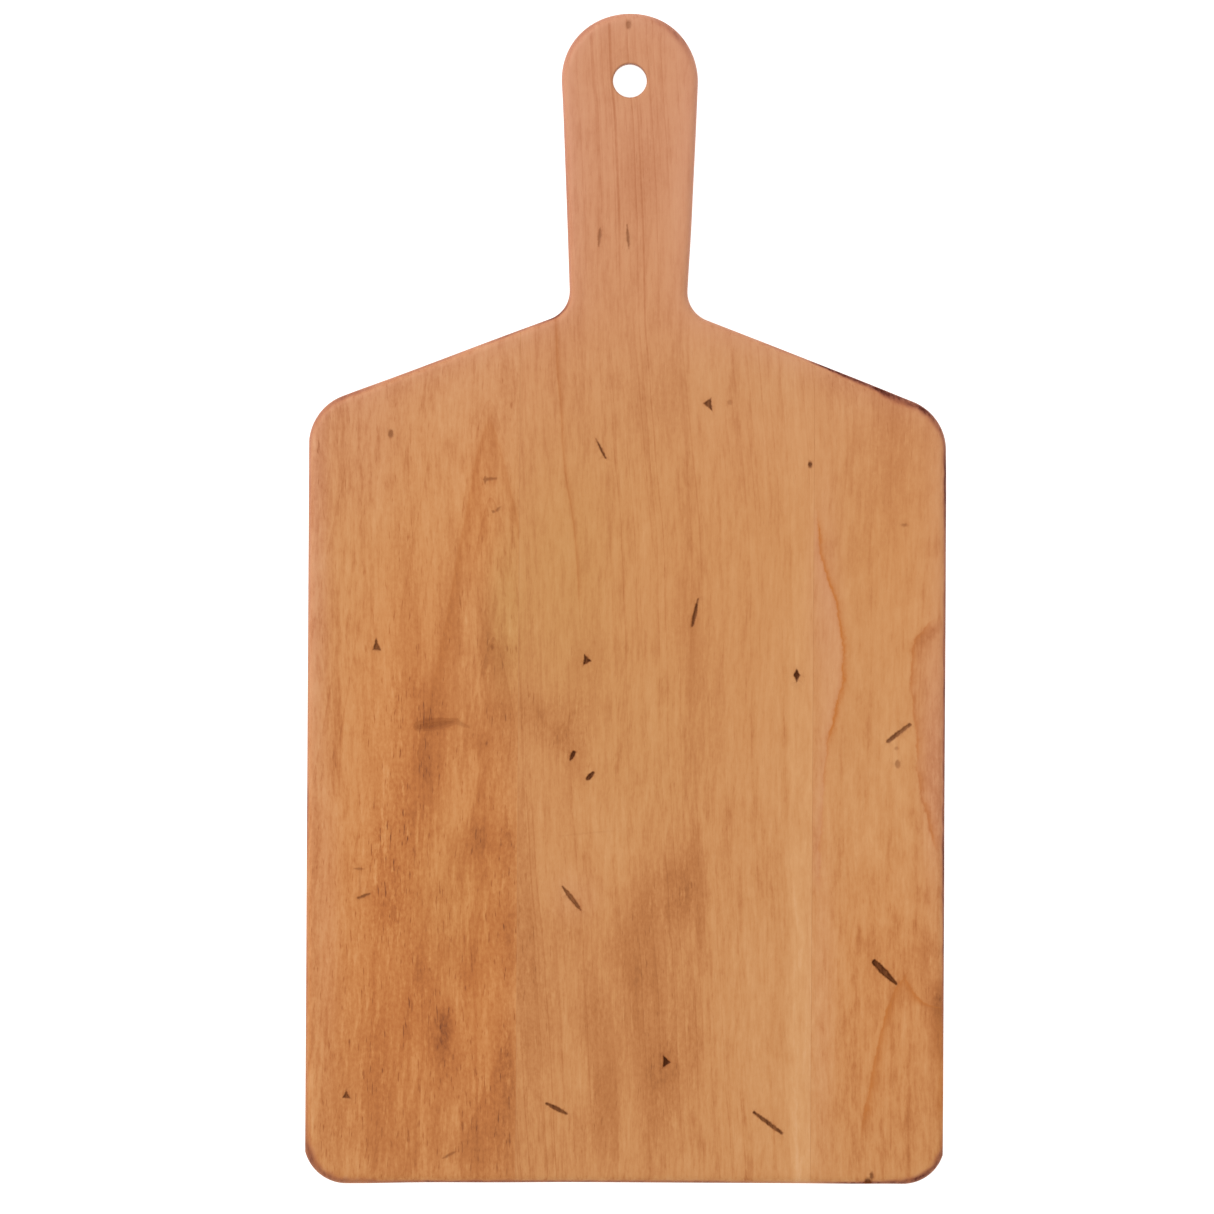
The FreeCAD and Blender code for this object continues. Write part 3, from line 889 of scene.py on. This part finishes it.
def centre_growth(graph, place, x, y, z):
    """Rings of the centre stave: close to upright lines, from a heart far to the left."""
    radius = graph.total(x, graph.times(y, CENTRE_LEAN[0]), graph.times(z, CENTRE_LEAN[1]))
    rings = yearly_rings(graph, radius, CENTRE_RING_SPACING, place)
    fine = yearly_rings(graph, radius, FINE_RING_SPACING, place)
    main = grown_line(graph, x, y, MAIN_LINE, 0.3, 0.9)
    second = grown_line(graph, x, y, SECOND_LINE, 0.3, 1.0)
    third = grown_line(graph, x, y, THIRD_LINE, 0.3, 1.2)
    band = grown_line(graph, x, y, BAND_IN_CENTRE, *BAND_FADE)
    strip = graph.times(graph.step(x, *STRIP_ACROSS), graph.step(y, *STRIP_DOWN))
    tone = graph.weighted((rings, -0.08), (fine, -0.05), (main, -0.12), (second, -0.06),
                          (third, -0.06), (band, -0.04), (strip, 0.20))
    return tone, graph.times(main, 0.3), 0.0


def right_growth(graph, place, x, y, z):
    """Rings of the right stave: wandering lines and an arch that the lower edge cuts."""
    radius = graph.total(x, graph.times(y, RIGHT_LEAN[0]), graph.times(z, RIGHT_LEAN[1]))
    x = graph.total(x, graph.times(graph.noise(place, 0.2, 0.13, 2.0), 2.0),
                    graph.times(graph.noise(place, 0.7, 0.55, 2.0), 1.6))
    broken = graph.step(graph.noise(place, 0.06, 0.10, 2.0), -0.30, 0.16)
    rings = yearly_rings(graph, radius, RIGHT_RING_SPACING, place)
    wavy = grown_line(graph, x, y, WAVY_LINE, 0.5, 1.1)
    wavy = graph.times(wavy, graph.total(graph.times(broken, 0.55),
                                         graph.step(y, *WAVY_WHOLE), -0.05))
    beside = grown_line(graph, x, y, WAVY_LINE, 4.0, 0.4)
    outer = graph.times(grown_line(graph, x, y, OUTER_LINE, 0.4, 1.6, OUTER_LINE_FADE),
                        graph.calc("MULTIPLY_ADD", broken, 0.7, 0.3))
    outside = grown_line(graph, x, y, OUTER_LINE, 0.4, 9.0, OUTER_LINE_FADE)
    arch, heart = grown_arch(graph, x, y, *SPIRE, 1.8)
    arch = graph.times(arch, graph.calc("MULTIPLY_ADD", broken, 0.5, 0.5))
    tone = graph.weighted((rings, -0.05), (wavy, -0.07), (outer, -0.15), (arch, -0.15),
                          (outside, -0.03), (heart, -0.03))
    resin = graph.total(wavy, graph.times(outer, 0.8), graph.times(arch, 1.3))
    return tone, resin, graph.weighted((beside, 0.45), (outside, 0.30))


# Noise that makes up the grain: cycles per millimetre across and along, detail and roughness.
FIBRES = (0.74, 0.13, 3.0, 0.62)
STREAKS = (0.44, 0.045, 3.0)
BANDS = (0.06, 0.005, 2.0)
MOTTLE = (0.20, 0.08, 5.0, 0.66)
SPECKLE = (0.9, 0.5, 2.0, 0.6)
PORES, PORE_EDGE = (1.5, 0.17, 1.0), (0.14, 0.26)
LONG_LINES, LONG_LINE_EDGE = (0.60, 0.0025, 1.0), (0.11, 0.22)
# The grain wanders a little sideways along its length: each noise, and how far in millimetres.
SLOW_SWAY, SLOW_SWAY_REACH = (0.012, 0.007, 1.0), 9.0
FAST_SWAY, FAST_SWAY_REACH = (0.06, 0.03, 1.0), 1.6
# Along the board, the grain shows more below the first pair of heights and less above the other.
ROUGHER_BELOW, ROUGHER = (0.0, -110.0), 0.28
SMOOTHER_ABOVE, SMOOTHER = (80.0, 130.0), -0.22
# Tone of clean wood on the colour ramps, what full stain and paleness add to it, and how much
# more a stained place shows its grain.
CLEAN_TONE, STAIN_TONE, PALE_TONE = 0.512, -0.36, 0.22
STAIN_ROUGHENS = 1.4
LEAST_BRUSHED = 0.1
ROSE_SHARE = 0.42
RESIN_LEVEL = 0.8
# How deep the grain is, in millimetres.
GRAIN_DEPTH = 0.05


def wood(name, growth, coarseness, figure, dashes, threads, lean):
    """Oiled close-grained wood with fibres along Y, and the given growth rings.

    Figure, dashes and threads say how strong its mottling, its short pores and its long fine
    lines are, and lean how far the long lines slant.
    """
    graph = Graph(name)
    place, (x, y, z) = graph.place()
    sway = graph.weighted((graph.noise(place, *SLOW_SWAY), SLOW_SWAY_REACH),
                          (graph.noise(place, *FAST_SWAY), FAST_SWAY_REACH))
    x = graph.total(x, sway)
    place = graph.vector(x, y, z)
    slanted = graph.vector(graph.calc("MULTIPLY_ADD", y, lean, x), y, z)
    fibres = graph.noise(place, *FIBRES)
    streaks = graph.noise(place, *STREAKS)
    bands = graph.noise(slanted, *BANDS)
    mottle = graph.noise(place, *MOTTLE)
    speckle = graph.noise(place, *SPECKLE)
    pores = graph.step(graph.noise(place, *PORES), *PORE_EDGE)
    lines = graph.step(graph.noise(slanted, *LONG_LINES), *LONG_LINE_EDGE)

    brushed = graph.total(1.0, graph.weighted((fibres, 3.2), (mottle, 4.2), (streaks, 4.0),
                                              (pores, 0.3)))
    stain = graph.times(graph.attribute("stain"), graph.calc("MAXIMUM", brushed, LEAST_BRUSHED))
    rough = graph.total(coarseness, graph.weighted((stain, STAIN_ROUGHENS),
                                                   (graph.step(y, *ROUGHER_BELOW), ROUGHER),
                                                   (graph.step(y, *SMOOTHER_ABOVE), SMOOTHER)))
    grain = graph.weighted((fibres, 0.36), (streaks, 0.40), (bands, 0.30), (mottle, figure),
                           (speckle, 0.14), (pores, -dashes))
    rings, resin, heart = growth(graph, place, x, y, z)
    tone = graph.total(CLEAN_TONE, rings,
                       graph.weighted((grain, rough), (lines, -threads), (stain, STAIN_TONE),
                                      (graph.attribute("pale"), PALE_TONE)))

    colour = graph.mix(graph.attribute("warm"), graph.ramp(tone, GOLDEN_TONES),
                       graph.ramp(tone, ORANGE_TONES))
    colour = graph.mix(graph.attribute("olive"), colour, graph.ramp(tone, OLIVE_TONES))
    rose = graph.times(graph.total(graph.attribute("rose"), heart), ROSE_SHARE)
    colour = graph.mix(rose, colour, graph.ramp(tone, ROSY_TONES))
    colour = graph.mix(graph.times(resin, graph.total(fibres, RESIN_LEVEL)), colour, srgb(RESIN))
    # Grime and painted shade on the rounded edge, heavier on the right and lower edges that face
    # away from the key light.
    worn = graph.times(graph.attribute("edge"),
                       graph.total(1.0, graph.weighted((fibres, 1.2), (streaks, 0.8))))
    colour = graph.layer(worn, colour, GRIME_AND_SHADE_THIN, GRIME_AND_SHADE_THICK)
    mark = graph.times(graph.attribute("mark"), graph.calc("MULTIPLY_ADD", fibres, 0.7, 1.0))
    colour = graph.layer(mark, colour, INK_THIN, INK_THICK)

    roughness = graph.total(0.52, graph.weighted((fibres, 0.25), (mottle, 0.12)))
    height = graph.total(fibres, graph.times(pores, -0.6))
    dull = graph.calc("MINIMUM", graph.total(mark, worn), 1.0)
    shine = graph.calc("MULTIPLY_ADD", dull, -SHINE, SHINE)
    return graph.finish(colour, roughness, height, GRAIN_DEPTH, shine)


def glue(name):
    """Brittle amber film of old glue with the board's finish over it."""
    graph = Graph(name)
    place, _ = graph.place()
    beads = graph.noise(place, 0.5, 0.2, 3.0)
    colour = graph.ramp(graph.total(graph.times(beads, 1.4), 0.5), GLUE_TONES)
    # Grime and painted shade on the rounded edge where the glue reaches it.
    colour = graph.layer(graph.attribute("edge"), colour, GRIME_AND_SHADE_THIN, GRIME_AND_SHADE_THICK)
    return graph.finish(colour, graph.total(graph.times(beads, 0.3), 0.4), beads, 0.03)


# Light that the studio table gives off, so that hardly any shadow shows on it.
FLOOR_GLOW = 0.95


def floor_paint(name):
    """Pale studio table, lit from below, with a faint unevenness."""
    graph = Graph(name)
    place, _ = graph.place()
    cloud = graph.noise(place, 0.01, 0.01, 3.0)
    colour = graph.ramp(graph.total(cloud, 0.5), FLOOR_TONES)
    graph.shader.inputs["Emission Color"].default_value = (1, 1, 1, 1)
    graph.shader.inputs["Emission Strength"].default_value = FLOOR_GLOW
    return graph.finish(colour, graph.total(cloud, 0.8), cloud, 0.02)


# ---- Pieces

# Steepest angle between two faces that still shade as one.
SMOOTH_UNTIL = math.radians(40)
# Each stave's rings, how strong its grain, its mottling, its short pores and its long fine
# lines are, and how far the long lines slant.
WOODS = {
    "left": (left_growth, 1.04, 0.29, 0.08, 0.03, 0.0),
    "centre": (centre_growth, 0.74, 0.24, 0.04, 0.09, 0.06),
    "right": (right_growth, 0.7, 0.48, 0.04, 0.03, -0.02),
}


def add(name, data):
    """New object in the scene, with the given data."""
    item = bpy.data.objects.new(name, data)
    bpy.context.scene.collection.objects.link(item)
    return item


def make_piece(name, mesh, stave, material, tree):
    """Object for one slice of the board, which stands for the CAD node of the same name.

    It has the stains of the given stave. A film of glue has those of the stave beside it.
    """
    data = bpy.data.meshes.new(name + "_visual")
    bmesh.ops.scale(mesh, vec=(MM, MM, MM), verts=mesh.verts)
    mesh.to_mesh(data)
    mesh.free()
    data.shade_smooth()
    data.set_sharp_from_angle(angle=SMOOTH_UNTIL)
    paint(data, stave, tree)
    data.materials.append(material)
    piece = add(name + "_visual", data)
    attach(piece, "root")
    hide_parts(name)


def make_pieces():
    """All five pieces, cut from the one board where the glue lines lie."""
    points, _ = shaped_outline()
    tree = KDTree(len(points))
    for index, (x, y) in enumerate(points):
        tree.insert((x, y, 0), index)
    tree.balance()
    board = whole_board()
    pieces = [(side + "_stave", side + "_stave", wood(side + "_wood", *WOODS[side]),
               side + "_wood") for side in WOODS]
    pieces += [(side + "_glue_line", side + "_stave", glue(side + "_glue"), "dried_glue")
               for side in ("left", "right")]
    for name, stave, material, slot in pieces:
        low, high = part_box(name)
        mesh = slice_board(board, low.x / MM, high.x / MM)
        make_piece(name, mesh, stave, material, tree)
    board.free()


# ---- Studio

# The floor's side, the key light's distance and side, and the camera's distance are in metres.
FLOOR_SIZE = 30.0
KEY_DISTANCE, KEY_SIZE = 2.4, 1.3
KEY_HEIGHT, KEY_TURN = math.radians(52), math.radians(140)
# Brightness of a white surface from the key light and from the pale room round it.
KEY_SHARE, ROOM_SHARE = 0.38, 0.78

# The photograph's framing: the board's length as a share of the frame, how far its middle lies
# right of and above the frame's middle, both as shares, and how far the board is turned in it.
BOARD_SHARE = 0.963
RIGHT_SHARE, UP_SHARE = 0.0165, 0.0072
TURN = math.radians(0.32)
CAMERA_DISTANCE = 8.0
SENSOR = 36.0


def make_floor():
    """Wide flat floor that the board lies on."""
    mesh = bmesh.new()
    bmesh.ops.create_grid(mesh, x_segments=8, y_segments=8, size=FLOOR_SIZE / 2)
    data = bpy.data.meshes.new("floor")
    mesh.to_mesh(data)
    mesh.free()
    data.materials.append(floor_paint("floor_paint"))
    floor = add("floor", data)


def make_lights():
    """One large soft key light from the upper left, in a pale room."""
    light = bpy.data.lights.new("key", "AREA")
    light.size = KEY_SIZE
    light.energy = KEY_SHARE * math.pi ** 2 * KEY_DISTANCE ** 2 / math.sin(KEY_HEIGHT)
    key = add("key", light)
    flat = math.cos(KEY_HEIGHT)
    direction = Vector((flat * math.cos(KEY_TURN), flat * math.sin(KEY_TURN),
                        math.sin(KEY_HEIGHT)))
    key.location = direction * KEY_DISTANCE
    key.rotation_euler = direction.to_track_quat("Z", "Y").to_euler()

    room = bpy.data.worlds.new("room")
    room.use_nodes = True
    background = room.node_tree.nodes["Background"]
    background.inputs["Color"].default_value = (1, 1, 1, 1)
    background.inputs["Strength"].default_value = ROOM_SHARE
    bpy.context.scene.world = room


def make_camera():
    """Camera straight above, framed as in the photograph."""
    frame_width = LENGTH * MM / BOARD_SHARE
    data = bpy.data.cameras.new("camera")
    data.sensor_width = SENSOR
    data.lens = SENSOR * CAMERA_DISTANCE / frame_width
    camera = add("camera", data)
    away = Matrix.Rotation(TURN, 2) @ Vector((RIGHT_SHARE, UP_SHARE)) * frame_width
    camera.location = (-away.x, -away.y, CAMERA_DISTANCE + THICKNESS * MM)
    camera.rotation_euler = (0, 0, TURN)
    bpy.context.scene.camera = camera


make_pieces()
make_floor()
make_lights()
make_camera()
bpy.context.scene.view_settings.view_transform = "Standard"
